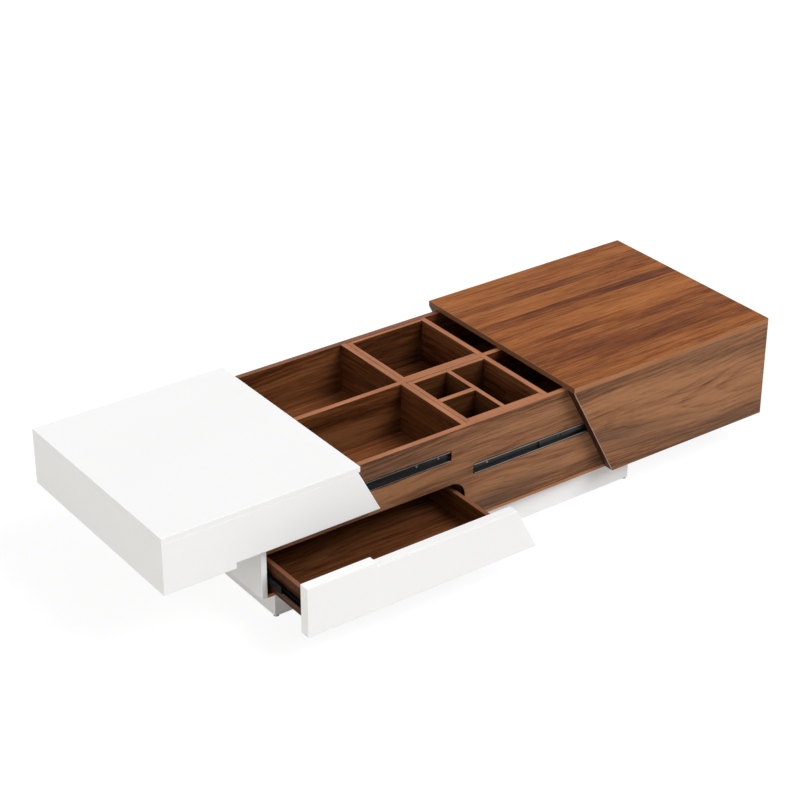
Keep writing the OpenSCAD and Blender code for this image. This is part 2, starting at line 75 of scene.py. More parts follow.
Colour = tuple[float, float, float]
Place = tuple[float, float, float]
Span = tuple[float, float]
MM = 0.001
WELD_GAP = 0.000004
SQUARE = 0.9  # Share of a face's normal along an axis, above which the face is square to that axis.
NOISE_SPAN: Span = (0.3, 0.7)  # Where nearly all values of a noise lie.


def srgb(red: int, green: int, blue: int) -> Colour:
    """Turns a screen colour into the linear colour that a shader takes.

    Args:
        red: Red from 0 to 255.
        green: Green from 0 to 255.
        blue: Blue from 0 to 255.

    Returns:
        The three linear values.
    """
    share = np.array([red, green, blue]) / 255.0
    linear = np.where(share <= 0.04045, share / 12.92, ((share + 0.055) / 1.055) ** 2.4)
    return tuple(float(value) for value in linear)


def third_axis(first: int, second: int) -> int:
    """Gives the third of the axes 0, 1 and 2."""
    return 3 - first - second


def put_in_scene(name: str, data: bpy.types.ID) -> bpy.types.Object:
    """Makes an object of some data and links it to the scene.

    Args:
        name: The object's name.
        data: Its mesh, camera or light.

    Returns:
        The object.
    """
    made = bpy.data.objects.new(name, data)
    bpy.context.scene.collection.objects.link(made)
    return made


def face_arrays(mesh: bpy.types.Mesh) -> tuple[np.ndarray, np.ndarray, np.ndarray]:
    """Reads the faces of a mesh.

    Args:
        mesh: The mesh.

    Returns:
        Their normals and their centres, with a row for each face, and their areas.
    """
    count = len(mesh.polygons)
    normals, centres, areas = (np.empty(count * width, np.float32) for width in (3, 3, 1))
    for name, values in (("normal", normals), ("center", centres), ("area", areas)):
        mesh.polygons.foreach_get(name, values)
    return normals.reshape(-1, 3), centres.reshape(-1, 3), areas


class Grain(Enum):
    """The axis that a board's grain runs along."""

    ALONG_TABLE = 0
    ACROSS_TABLE = 1
    UPRIGHT = 2


class Face(Enum):
    """The axis that a board's broad faces look along."""

    END = 0
    SIDE = 1
    LEVEL = 2


class Pattern(Enum):
    """How the walnut decor is laid on a board."""

    STAVES = "staves"
    LEAF = "leaf"


class Banding(Enum):
    """Which narrow edges of a walnut board carry an edge strip."""

    NONE = "none"
    UPPER = "upper"
    ALL = "all"


class CoverKind(Enum):
    """The two covers, by their finish."""

    WHITE = "white"
    WALNUT = "walnut"


class Skin(IntEnum):
    """The finishes of a walnut board, in the order of its material slots."""

    DECOR = 0
    STRIP = 1
    LINING = 2
    # The CUT slot holds painted shade: near-black on the walls and floors of slots and openings, and dark brown on the
    # seam of the cover's front and rear. On the top's seam it holds the plain seam finish.
    CUT = 3


@dataclass(frozen=True)
class Noise:
    """A noise of a finish: cells for each metre along and across the grain, octaves, and the finer ones' weight."""

    along: float
    across: float
    octaves: float = 2.0
    weight: float = 0.5


class ShaderSheet:
    """A material under construction: one Principled shader and the nodes that feed it."""

    def __init__(self, name: str, roughness: float, **sockets: float) -> None:
        """Starts a material.

        Args:
            name: The material's name.
            roughness: The shader's roughness.
            **sockets: Other plain values of the shader, with the socket's name in lower case and underscores.
        """
        self.material = bpy.data.materials.new(name)
        self.material.use_nodes = True
        self.nodes = self.material.node_tree.nodes
        self.links = self.material.node_tree.links
        self.nodes.clear()
        self.shader = self.nodes.new("ShaderNodeBsdfPrincipled")
        output = self.nodes.new("ShaderNodeOutputMaterial")
        self.links.new(self.shader.outputs["BSDF"], output.inputs["Surface"])
        self.shader.inputs["Roughness"].default_value = roughness
        for socket, value in sockets.items():
            self.shader.inputs[socket.replace("_", " ").title().replace("Ior", "IOR")].default_value = value

    def node(self, kind: str, **settings: object) -> bpy.types.Node:
        """Adds a node.

        Args:
            kind: The node's type without its ShaderNode prefix.
            **settings: Properties to set on it.

        Returns:
            The new node.
        """
        made = self.nodes.new("ShaderNode" + kind)
        for key, value in settings.items():
            setattr(made, key, value)
        return made

    def feed(self, socket: bpy.types.NodeSocket, value: object) -> None:
        """Links a socket to another, or gives it a plain value.

        Args:
            socket: The socket that is fed.
            value: Another socket, a number or a colour.
        """
        if isinstance(value, bpy.types.NodeSocket):
            self.links.new(value, socket)
        else:
            socket.default_value = (*value, 1.0) if socket.type == "RGBA" else value

    def math(self, operation: str, first: object, second: object = 0.0) -> bpy.types.NodeSocket:
        """Works out one step of arithmetic.

        Args:
            operation: The Math node's operation.
            first: A socket or a number.
            second: A socket or a number.

        Returns:
            The result's socket.
        """
        made = self.node("Math", operation=operation)
        self.feed(made.inputs[0], first)
        self.feed(made.inputs[1], second)
        return made.outputs[0]

    def times(self, first: object, second: object) -> bpy.types.NodeSocket:
        """Multiplies two values."""
        return self.math("MULTIPLY", first, second)

    def gather(self, *shares: tuple[bpy.types.NodeSocket, float]) -> bpy.types.NodeSocket:
        """Adds values that each swing about a half, by weight, so that the sum swings about a half too.

        Args:
            *shares: Pairs of a value's socket and its weight.

        Returns:
            The sum's socket.
        """
        total: object = 0.5 - sum(weight for _, weight in shares) / 2.0
        for value, weight in shares:
            made = self.node("Math", operation="MULTIPLY_ADD")
            for socket, part in zip(made.inputs, (value, weight, total)):
                self.feed(socket, part)
            total = made.outputs[0]
        return total

    def split(self, vector: bpy.types.NodeSocket) -> Sequence[bpy.types.NodeSocket]:
        """Takes a vector apart into the sockets of its three parts."""
        made = self.node("SeparateXYZ")
        self.feed(made.inputs[0], vector)
        return made.outputs

    def join(self, along: object, across: object, into: object = 0.0) -> bpy.types.NodeSocket:
        """Puts three values together as a vector.

        Args:
            along: Its first part, as a socket or a number.
            across: Its second part.
            into: Its third part.

        Returns:
            The vector's socket.
        """
        made = self.node("CombineXYZ")
        for socket, value in zip(made.inputs, (along, across, into)):
            self.feed(socket, value)
        return made.outputs[0]

    def board_space(self, grain: Grain, face: Face, shift: Sequence[float]) -> bpy.types.NodeSocket:
        """Gives coordinates of a board: along the grain, across it, and into the board.

        Args:
            grain: The axis of the grain.
            face: The axis that the broad faces look along.
            shift: What is added to the three coordinates, so that no two boards show the same piece of decor.

        Returns:
            The vector's socket, in metres.
        """
        parts = self.split(self.node("TexCoord").outputs["Object"])
        across = third_axis(grain.value, face.value)
        moved = self.node("Mapping")
        moved.inputs["Location"].default_value = tuple(shift)
        self.feed(moved.inputs["Vector"], self.join(parts[grain.value], parts[across], parts[face.value]))
        return moved.outputs[0]

    def strip_space(self, grain: Grain = Grain.ALONG_TABLE,
                    shift: Sequence[float] = (0.0, 0.0, 0.0)) -> bpy.types.NodeSocket:
        """Gives such coordinates for a finish that only needs the grain's axis."""
        return self.board_space(grain, Face.SIDE if grain is Grain.UPRIGHT else Face.LEVEL, shift)

    def noise(self, place: bpy.types.NodeSocket, kind: Noise) -> bpy.types.NodeSocket:
        """Gives a noise whose cells are stretched along the grain.

        Args:
            place: Where it is read.
            kind: Its measures.

        Returns:
            The socket of its value, about 0 to 1.
        """
        sized = self.node("Mapping")
        sized.inputs["Scale"].default_value = (kind.along, kind.across, kind.across)
        self.feed(sized.inputs["Vector"], place)
        made = self.node("TexNoise")
        for socket, value in (("Scale", 1.0), ("Detail", kind.octaves), ("Roughness", kind.weight)):
            made.inputs[socket].default_value = value
        self.feed(made.inputs["Vector"], sized.outputs[0])
        return made.outputs["Fac"]

    def ramp(self, value: bpy.types.NodeSocket, stops: Iterable[tuple[float, Colour]]) -> bpy.types.NodeSocket:
        """Turns a value into a colour.

        Args:
            value: The value's socket.
            stops: Places from 0 to 1 and their colours, in order.

        Returns:
            The colour's socket.
        """
        made = self.node("ValToRGB")
        elements = made.color_ramp.elements
        for index, (place, colour) in enumerate(stops):
            element = elements[index] if index < 2 else elements.new(place)
            element.position = place
            element.color = (*colour, 1.0)
        self.feed(made.inputs[0], value)
        return made.outputs[0]

    def blend(self, share: object, first: object, second: object, mode: str = "MIX") -> bpy.types.NodeSocket:
        """Mixes two colours.

        Args:
            share: How much of the second, as a socket or a number.
            first: A colour or its socket.
            second: A colour or its socket.
            mode: The Mix node's blend type.

        Returns:
            The colour's socket.
        """
        made = self.node("Mix", data_type="RGBA", blend_type=mode)
        self.feed(made.inputs["Factor"], share)
        for name, value in (("A", first), ("B", second)):
            self.feed(next(s for s in made.inputs if s.name == name and s.type == "RGBA"), value)
        return next(s for s in made.outputs if s.type == "RGBA")

    def spread(self, value: bpy.types.NodeSocket, span: Span, onto: Span = (0.0, 1.0)) -> bpy.types.NodeSocket:
        """Stretches a value from one range to another and holds it there.

        Args:
            value: The value's socket.
            span: Where the first range starts and ends.
            onto: Where the second range starts and ends.

        Returns:
            The result's socket.
        """
        made = self.node("MapRange", clamp=True)
        for index, plain in enumerate((*span, *onto), start=1):
            made.inputs[index].default_value = plain
        self.feed(made.inputs[0], value)
        return made.outputs[0]

    def relief(self, height: bpy.types.NodeSocket, depth: float) -> None:
        """Gives the surface a fine relief.

        Args:
            height: The socket of its height, 0 to 1.
            depth: Its depth in metres.
        """
        made = self.node("Bump")
        made.inputs["Distance"].default_value = depth
        made.inputs["Strength"].default_value = 1.0
        self.feed(made.inputs["Height"], height)
        self.links.new(made.outputs["Normal"], self.shader.inputs["Normal"])

    def colour(self, value: object) -> None:
        """Sets what colours the surface."""
        self.feed(self.shader.inputs["Base Color"], value)

    def gloss(self, value: bpy.types.NodeSocket, onto: Span) -> None:
        """Lets a noise drive the shader's roughness between two ends."""
        self.feed(self.shader.inputs["Roughness"], self.spread(value, NOISE_SPAN, onto))


@dataclass(frozen=True)
class WalnutDecor:
    """Walnut decor: soft bands, fine lines, cathedral figure, greyer clouds and short dark pores.

    Each share says how far its part sways the tone at a contrast of 1. The stops are the places of the four
    walnut colours from darkest to light. The stave tones are the shares of what stays the same along a stave
    and of what drifts, and the polish is the roughness at both ends of the fine lines.
    """

    darkest: Colour = srgb(74, 38, 19)
    dark: Colour = srgb(108, 60, 31)
    middle: Colour = srgb(138, 82, 46)
    light: Colour = srgb(170, 110, 68)
    stops: tuple[float, ...] = (0.24, 0.42, 0.56, 0.76)
    cloud: Colour = srgb(92, 62, 44)
    cloud_span: Span = (0.48, 0.68)
    clouding: float = 0.3
    pattern: Pattern = Pattern.LEAF
    contrast: float = 1.0
    band_share: float = 0.85
    streak_share: float = 0.5
    line_share: float = 0.6
    pore_share: float = 0.38
    pore_span: Span = (0.60, 0.72)
    stave_share: float = 0.55
    stave_width: float = 0.068
    stave_tones: Span = (0.4, 0.8)
    stave_jump: float = 40.0
    stave_gap: float = 3.7
    leaf_width: float = 0.285
    leaf_sides: Span = (0.24, 0.45)
    edge_share: float = 0.16
    edge_tone: float = 0.82
    ring_pitch: float = 0.0105
    ring_share: float = 0.15
    ring_rise: float = 2.2
    ring_end: Span = (0.9, 1.0)
    heart_drift: float = 0.06
    heart_lean: float = 0.15
    arch_half: float = 1.6
    arch_slope: float = 0.035
    raggedness: float = 0.9
    sway_reach: float = 0.085
    bend: Noise = Noise(1.3, 3.5)
    band: Noise = Noise(1.25, 14.0, 3.0)
    streak: Noise = Noise(2.8, 85.0, 4.0, 0.72)
    line: Noise = Noise(13.0, 240.0, 3.0, 0.66)
    pore: Noise = Noise(26.0, 900.0, 1.0)
    mist: Noise = Noise(1.5, 11.0)
    heart: Noise = Noise(1.3, 4.0, 1.0, 0.45)
    ragged: Noise = Noise(9.0, 34.0)
    drift: Noise = Noise(2.3, 1.0, 1.0)
    along_draw: Span = (2.0, 30.0)
    leaf_draw: tuple[int, int] = (8, 90)
    roughness: float = 0.5
    specular: float = 0.08
    polish: Span = (0.57, 0.45)
    relief: float = 0.1 * MM
    pore_depth: float = 1.5

    def material(self, name: str, grain: Grain, face: Face, seed: int, tone: float,
                 middle: float) -> bpy.types.Material:
        """Makes the decor for one board.

        Args:
            name: The material's name.
            grain: The axis of the grain.
            face: The axis that the broad faces look along.
            seed: Picks the piece of decor.
            tone: What the colour is multiplied by.
            middle: Where the board's middle line lies across the grain, which is the middle of a leaf.

        Returns:
            The material.
        """
        sheet = ShaderSheet(name, self.roughness, specular_ior_level=self.specular)
        draw = np.random.default_rng(seed)
        along, into = draw.uniform(*self.along_draw, 2)
        across = int(draw.integers(*self.leaf_draw)) * self.leaf_width - middle
        wavy = self.sway(sheet, sheet.board_space(grain, face, (along, across, into)))
        shares = []
        if self.pattern is Pattern.STAVES:
            wavy, stave = self.staves(sheet, wavy)
            shares.append((stave, self.stave_share))
        line = sheet.noise(wavy, self.line)
        pore = sheet.spread(sheet.noise(wavy, self.pore), self.pore_span)
        ring, edge = self.figure(sheet, wavy)
        shares += [(sheet.noise(wavy, self.band), self.band_share), (sheet.noise(wavy, self.streak), self.streak_share),
                   (line, self.line_share), (ring, self.ring_share), (edge, self.edge_share)]
        value = sheet.gather(*((part, share * self.contrast) for part, share in shares))
        colour = sheet.ramp(value, zip(self.stops, (self.darkest, self.dark, self.middle, self.light)))
        grey = sheet.spread(sheet.noise(wavy, self.mist), self.cloud_span, (0.0, self.clouding))
        clouded = sheet.blend(grey, colour, self.cloud)
        pored = sheet.blend(sheet.times(pore, self.pore_share), clouded, self.darkest)
        sheet.colour(sheet.blend(1.0, pored, (tone, tone, tone), "MULTIPLY"))
        sheet.gloss(line, self.polish)
        sheet.relief(sheet.math("SUBTRACT", line, sheet.times(pore, self.pore_depth)), self.relief)
        return sheet.material

    def sway(self, sheet: ShaderSheet, place: bpy.types.NodeSocket) -> bpy.types.NodeSocket:
        """Bends the grain a little to both sides along a board.

        Args:
            sheet: The material under construction.
            place: The board coordinates.

        Returns:
            The socket of the bent coordinates.
        """
        swing = sheet.math("SUBTRACT", sheet.noise(place, self.bend), 0.5)
        bent = sheet.node("VectorMath", operation="ADD")
        sheet.feed(bent.inputs[0], place)
        sheet.feed(bent.inputs[1], sheet.join(0.0, sheet.times(swing, self.sway_reach)))
        return bent.outputs[0]

    def figure(self, sheet: ShaderSheet,
               wavy: bpy.types.NodeSocket) -> tuple[bpy.types.NodeSocket, bpy.types.NodeSocket]:
        """Gives the rings that a flat cut through a trunk shows: straight at the sides of each leaf, arched in it.

        A leaf is a strip of veneer. Across it runs the distance from its middle, and the depth of the cut below
        the trunk's heart drifts along it, so that equal radii close into long arches. Each ring darkens slowly
        with the radius and ends at once.

        Args:
            sheet: The material under construction.
            wavy: The bent board coordinates.

        Returns:
            The sockets of the rings, and of the leaf's tone, which falls towards its sides. Both are 0 to 1.
        """
        parts = sheet.split(wavy)
        across = sheet.math("PINGPONG", parts[1], self.leaf_width / 2.0)
        drift = sheet.noise(sheet.join(parts[0], sheet.times(parts[1], self.heart_lean)), self.heart)
        arch = sheet.times(sheet.math("PINGPONG", parts[0], self.arch_half), self.arch_slope)
        depth = sheet.math("ADD", sheet.times(drift, self.heart_drift), arch)
        squares = (sheet.math("POWER", part, 2.0) for part in (across, depth))
        radius = sheet.math("SQRT", sheet.math("ADD", *squares))
        ragged = sheet.times(sheet.noise(wavy, self.ragged), self.raggedness)
        turn = sheet.math("FRACT", sheet.math("ADD", sheet.math("DIVIDE", radius, self.ring_pitch), ragged))
        late = sheet.math("SUBTRACT", sheet.math("POWER", turn, self.ring_rise), sheet.spread(turn, self.ring_end))
        sides = tuple(side * self.leaf_width for side in self.leaf_sides)
        return sheet.math("SUBTRACT", 1.0, late), sheet.spread(across, sides, (self.edge_tone, 0.0))

    def staves(self, sheet: ShaderSheet,
               wavy: bpy.types.NodeSocket) -> tuple[bpy.types.NodeSocket, bpy.types.NodeSocket]:
        """Splits the board into rows along the grain, each with a drifting tone and grain of its own.

        Args:
            sheet: The material under construction.
            wavy: The bent board coordinates.

        Returns:
            The sockets of the coordinates, shifted for each row, and of the tone, about 0 to 1.
        """
        parts = sheet.split(wavy)
        row = sheet.math("FLOOR", sheet.math("DIVIDE", parts[1], self.stave_width))
        start = sheet.node("TexWhiteNoise", noise_dimensions="1D")
        sheet.feed(start.inputs["W"], row)
        along = sheet.math("ADD", parts[0], sheet.times(start.outputs["Value"], self.stave_jump))
        drift = sheet.noise(sheet.join(along, sheet.times(row, self.stave_gap)), self.drift)
        tone = sheet.gather(*zip((start.outputs["Value"], drift), self.stave_tones))
        return sheet.join(along, parts[1], parts[2]), tone


@dataclass(frozen=True)
class LinedFinish:
    """A finish between two colours, with fine lines along the grain over soft clouds.

    The line share is the lines' weight against the clouds', and the stops are the places of both colours.
    """

    low: Colour
    high: Colour
    roughness: float
    metallic: float
    specular: float
    lines: Noise
    clouds: Noise
    line_share: float
    stops: Span
    shift: Place
    relief: float

    def material(self, name: str, grain: Grain) -> bpy.types.Material:
        """Makes the finish.

        Args:
            name: The material's name.
            grain: The axis that the lines run along.

        Returns:
            The material.
        """
        sheet = ShaderSheet(name, self.roughness, metallic=self.metallic, specular_ior_level=self.specular)
        place = sheet.strip_space(grain, self.shift)
        lines, clouds = sheet.noise(place, self.lines), sheet.noise(place, self.clouds)
        value = sheet.math("ADD", sheet.times(lines, self.line_share), sheet.times(clouds, 1.0 - self.line_share))
        sheet.colour(sheet.ramp(value, zip(self.stops, (self.low, self.high))))
        sheet.relief(lines, self.relief)
        return sheet.material

    def each_way(self, name: str) -> dict[Grain, bpy.types.Material]:
        """Makes the finish once for each way that its lines can run."""
        return {grain: self.material(f"{name}_{grain.name.lower()}", grain) for grain in Grain}


@dataclass(frozen=True)
class WalnutEdging(LinedFinish):
    """Edge strip of the walnut boards: lighter and plainer than the decor, with a fine straight line."""

    low: Colour = srgb(139, 86, 57)
    high: Colour = srgb(185, 123, 86)
    roughness: float = 0.5
    metallic: float = 0.0
    specular: float = 0.16
    lines: Noise = Noise(5.0, 420.0, 3.0, 0.6)
    clouds: Noise = Noise(7.0, 9.0)
    line_share: float = 0.6
    stops: Span = (0.32, 0.66)
    shift: Place = (3.1, 5.7, 1.3)
    relief: float = 0.05 * MM


@dataclass(frozen=True)
class PlatedSteel(LinedFinish):
    """Sheet steel with a plated or coated skin, drawn out along its length."""

    specular: float = 0.5
    lines: Noise = Noise(12.0, 2600.0)
    clouds: Noise = Noise(30.0, 60.0, 3.0)
    line_share: float = 0.45
    stops: Span = (0.40, 0.72)
    shift: Place = (0.4, 0.9, 0.2)
    relief: float = 0.02 * MM


@dataclass(frozen=True)
class WhiteCoat:
    """Satin white coat on board, with the slight unevenness of a sprayed surface."""

    shade: Colour = srgb(243, 243, 243)
    tint: Colour = srgb(245, 245, 245)
    roughness: float = 0.4
    specular: float = 0.3
    cloud: Noise = Noise(3.0, 3.0, 3.0)
    peel: Noise = Noise(420.0, 420.0)
    polish: Span = (0.36, 0.44)
    relief: float = 0.012 * MM

    def material(self, name: str) -> bpy.types.Material:
        """Makes the white coat.

        Args:
            name: The material's name.

        Returns:
            The material.
        """
        sheet = ShaderSheet(name, self.roughness, specular_ior_level=self.specular)
        place = sheet.strip_space()
        peel = sheet.noise(place, self.peel)
        sheet.colour(sheet.ramp(sheet.noise(place, self.cloud), zip(NOISE_SPAN, (self.shade, self.tint))))
        sheet.gloss(peel, self.polish)
        sheet.relief(peel, self.relief)
        return sheet.material


@dataclass(frozen=True)
class GlideRubber:
    """Matt dark plastic of the floor glides, with a moulded grain."""

    tint: Colour = srgb(38, 37, 36)
    pale: Colour = srgb(58, 56, 54)
    stops: Span = (0.35, 0.7)
    roughness: float = 0.7
    moulding: Noise = Noise(900.0, 900.0)
    relief: float = 0.04 * MM

    def material(self, name: str) -> bpy.types.Material:
        """Makes the plastic.

        Args:
            name: The material's name.

        Returns:
            The material.
        """
        sheet = ShaderSheet(name, self.roughness)
        grain = sheet.noise(sheet.strip_space(), self.moulding)
        sheet.colour(sheet.ramp(grain, zip(self.stops, (self.tint, self.pale))))
        sheet.relief(grain, self.relief)
        return sheet.material


class Finishes:
    """The finishes that several pieces share, each made once."""

    def __init__(self) -> None:
        """Makes the shared materials."""
        self.top_decor = WalnutDecor(
            srgb(73, 35, 14), srgb(111, 57, 23), srgb(140, 80, 37), srgb(171, 106, 56), pattern=Pattern.STAVES,
            contrast=1.15, clouding=0.15, ring_share=0.05, edge_share=0.0, band_share=0.4, stave_share=0.52,
            stave_width=0.034, sway_reach=0.03)
        self.side_decor = WalnutDecor(
            srgb(76, 48, 33), srgb(110, 73, 51), srgb(141, 96, 66), srgb(167, 118, 83), cloud=srgb(92, 71, 58),
            clouding=0.55, contrast=1.15)
        self.inner_decor = WalnutDecor(
            srgb(54, 26, 11), srgb(96, 51, 25), srgb(129, 75, 40), srgb(158, 100, 60), clouding=0.2, edge_share=0.05)
        self.white = WhiteCoat().material("white_coat")
        self.rim = WalnutEdging().each_way("walnut_rim")
        # Painted shade: a darker rim strip for boards whose rims sit in shade, the rear panel and the drawer's box.
        self.rim_painted_shade = WalnutEdging(srgb(106, 65, 46), srgb(138, 90, 65)).each_way("walnut_rim_painted_shade")
        self.edging = WalnutEdging(srgb(141, 92, 59), srgb(168, 115, 77)).each_way("walnut_edging")
        # Painted highlight: a pale strip on the rounding beside the seam of the cover's front and rear, standing in for
        # the light line along that edge.
        self.pale = WalnutEdging(srgb(196, 158, 132), srgb(218, 182, 156)).each_way("walnut_painted_highlight_edge")
        # Painted shade: near-black for the walls and floors of slots and openings, where shade falls.
        cut = WalnutEdging(srgb(20, 12, 9), srgb(30, 18, 13))
        seam = WalnutEdging(srgb(96, 61, 41), srgb(124, 81, 55))
        # Painted shade: dark brown for the slanted seam face of the cover's front and rear, which lies in the shade of
        # the gap.
        slant_painted_shade = WalnutEdging(srgb(44, 25, 18), srgb(60, 35, 25))
        self.cut = cut.material("walnut_cut", Grain.UPRIGHT)
        self.seam = {Face.LEVEL: seam.material("walnut_seam", Grain.ACROSS_TABLE),
                     Face.SIDE: slant_painted_shade.material("walnut_slant_painted_shade", Grain.UPRIGHT)}
        black = PlatedSteel(srgb(20, 19, 18), srgb(38, 36, 35), roughness=0.36, metallic=0.35)
        # Painted shade: a near-black, duller copy of the black steel for the drawer's slides, which sit in shade.
        black_painted_shade = PlatedSteel(srgb(4, 4, 4), srgb(12, 11, 11), roughness=0.6, metallic=0.0, specular=0.08)
        # Painted highlight: light steel on the channels' lips, standing in for their reflections.
        lip_highlight = PlatedSteel(srgb(122, 118, 115), srgb(158, 154, 150), roughness=0.32, metallic=0.8)
        zinc = PlatedSteel(srgb(122, 121, 118), srgb(160, 159, 155), roughness=0.3, metallic=0.9)
        self.black = black.each_way("black_steel")
        self.black[Grain.ACROSS_TABLE] = black_painted_shade.material("black_steel_drawer", Grain.ACROSS_TABLE)
        self.lip_highlight = lip_highlight.each_way("steel_lip_painted_highlight")
        self.zinc = zinc.material("zinc_screw", Grain.ALONG_TABLE)
        self.rubber = GlideRubber().material("glide_plastic")


@dataclass(frozen=True)
class Board:
    """One board of the table and how it is dressed.

    The lining is the side of the board that looks into the table, as a sign on its face axis, and the seam is
    the end that meets the other cover, as a sign on X. Zero means that the board has none. Slots and openings
    cut into the board get painted shade, near-black walls and floors, where cut_painted_shade is set. Boards
    with painted_shade_on_rim get a rim darkened as painted shade, and inner ones the decor of the compartments.
    """

    node: str
    grain: Grain = Grain.ALONG_TABLE
    face: Face = Face.SIDE
    banding: Banding = Banding.NONE
    tone: float = 1.0
    inner: bool = False
    lining: int = 0
    seam: int = 0
    cut_painted_shade: bool = False
    painted_shade_on_rim: bool = False
    ease: float = 0.7 * MM


@dataclass
class Joinery:
    """Turns the frame's boards into eased boards with their finish.

    The seeds pick each board's piece of decor, with the number of the boards made so far. Where a face looks is
    told by shares of its unit normal along the board's face axis (banded, narrow, broad), up (upward), and
    towards the seam (seam_face, and seam_ease for the rounding beside it). A face is on the outline within
    outline_depth of the board's edges, and in a pocket deeper than pocket_depth below the outer face.
    """

    frame: dict
    finishes: Finishes
    # Painted shade: the linings, which look into the table, are darkened to this share.
    lining_painted_shade: float = 0.65
    decor_seed: int = 40
    lining_seed: int = 140
    flat_turn: float = 0.5
    ease_turn: float = 30.0
    ease_steps: int = 2
    narrow: float = 0.3
    banded: float = 0.5
    broad: float = 0.97
    upward: float = 0.3
    seam_face: float = 0.5
    seam_ease: float = 0.15
    outline_depth: float = 1.5 * MM
    pocket_depth: float = 2.0 * MM
    made: int = 0

    def eased_copy(self, node: str, name: str, ease: float) -> bpy.types.Object:
        """Copies a board's mesh, merges its loose triangles into plain faces and eases its edges.

        Faces that meet at less than flat_turn degrees become one. Each edge that turns by more than ease_turn
        degrees is cut back by the same width on both faces, and the strip between them is rounded.

        Args:
            node: The board's node.
            name: The new piece's name.
            ease: Width of the easing.

        Returns:
            The new piece.
        """
        mesh = self.frame["nodes"][node].data.copy()
        mesh.name = name
        mesh.materials.clear()
        piece = put_in_scene(name, mesh)
        weld = piece.modifiers.new("weld", "WELD")
        weld.merge_threshold = WELD_GAP
        flat = piece.modifiers.new("flat", "DECIMATE")
        flat.decimate_type = "DISSOLVE"
        flat.angle_limit = math.radians(self.flat_turn)
        bevel = piece.modifiers.new("ease", "BEVEL")
        bevel.width = ease
        bevel.segments = self.ease_steps
        bevel.limit_method = "ANGLE"
        bevel.angle_limit = math.radians(self.ease_turn)
        bevel.use_clamp_overlap = False
        finished = bpy.data.meshes.new_from_object(piece.evaluated_get(bpy.context.evaluated_depsgraph_get()))
        piece.modifiers.clear()
        piece.data = finished
        return piece

    def walnut(self, board: Board, body: str) -> bpy.types.Object:
        """Makes a walnut board with decor faces and, where asked, banded edges.

        Args:
            board: The board.
            body: The body that it rides on.

        Returns:
            The new piece.
        """
        piece = self.eased_copy(board.node, f"{board.node}_board", board.ease)
        self.made += 1
        shared = self.finishes
        if board.inner:
            decor = shared.inner_decor
        else:
            decor = shared.top_decor if board.face is Face.LEVEL else shared.side_decor
        across = third_axis(board.grain.value, board.face.value)
        reach = [corner.co[across] for corner in piece.data.vertices]
        middle = (min(reach) + max(reach)) / 2.0
        strips = shared.rim if board.banding is Banding.UPPER else shared.edging
        if board.painted_shade_on_rim:
            # Painted shade: the darker rim strip.
            strips = shared.rim_painted_shade
        elif board.seam and board.face is Face.SIDE:
            # Painted highlight: the pale strip beside the seam.
            strips = shared.pale
        skins = [decor.material(f"walnut_{board.node}", board.grain, board.face, self.decor_seed + self.made,
                                board.tone, middle), strips[board.grain]]
        if board.lining or board.seam:
            skins.append(shared.inner_decor.material(f"walnut_{board.node}_lining", board.grain, board.face,
                                                     self.lining_seed + self.made, self.lining_painted_shade, middle))
            # The fourth skin: near-black painted shade on cut walls, else the seam finish, which is dark brown painted
            # shade on the cover's front and rear.
            skins.append(shared.cut if board.cut_painted_shade else shared.seam.get(board.face, shared.cut))
        for skin in skins:
            piece.data.materials.append(skin)
        self.share_skins(piece.data, board)
        return self.settle(piece, board.node, body, "walnut_board")

    def share_skins(self, mesh: bpy.types.Mesh, board: Board) -> None:
        """Gives each face of a walnut board its skin, by where the face looks and lies.

        The linings are the broad faces that look into the table. The strips lie on the narrow faces, or on the
        upper ones that are near the board's top. The cut skin goes to narrow faces away from the outline and to
        broad ones below the outer face, where it is painted shade, and to the seam, whose rounding takes a strip.
        On the cover's front and rear the seam's cut skin is painted shade and its strip a painted highlight.

        Args:
            mesh: The board's mesh.
            board: The board.
        """
        normals, centres, _ = face_arrays(mesh)
        across, height = normals[:, board.face.value], centres[:, 2]
        turned = np.abs(across)
        skins = np.full(len(across), Skin.DECOR, np.int32)
        if board.lining:
            skins[across * board.lining > SQUARE] = Skin.LINING
        if board.banding is Banding.UPPER:
            skins[(normals[:, 2] > self.upward) & (height > height.max() - self.outline_depth)] = Skin.STRIP
        elif board.banding is Banding.ALL:
            skins[turned < self.banded] = Skin.STRIP
        # Painted shade: the walls and floors of slots and openings take the near-black cut skin.
        if board.cut_painted_shade:
            places = centres[:, [0, 2]]
            inset = np.minimum(places - places.min(axis=0), places.max(axis=0) - places).min(axis=1)
            skins[(turned < self.narrow) & (inset >= self.outline_depth)] = Skin.CUT
            outward = centres[:, board.face.value] * -board.lining
            pocket = outward < outward.max() - self.pocket_depth
            skins[(across * -board.lining > SQUARE) & pocket] = Skin.CUT
        # The seam face takes the cut skin and its rounding the strip: painted shade and a painted highlight on the
        # cover's front and rear.
        if board.seam:
            ends = normals[:, 0] * board.seam
            skins[(turned < self.narrow) & (ends > self.seam_face)] = Skin.CUT
            skins[(turned >= self.narrow) & (turned < self.broad) & (ends > self.seam_ease)] = Skin.STRIP
        mesh.polygons.foreach_set("material_index", skins)

    def white(self, board: Board, body: str) -> bpy.types.Object:
        """Makes a white board.

        Args:
            board: The board.
            body: The body that it rides on.

        Returns:
            The new piece.
        """
        piece = self.eased_copy(board.node, f"{board.node}_board", board.ease)
        piece.data.materials.append(self.finishes.white)
        return self.settle(piece, board.node, body, "white_lacquer")

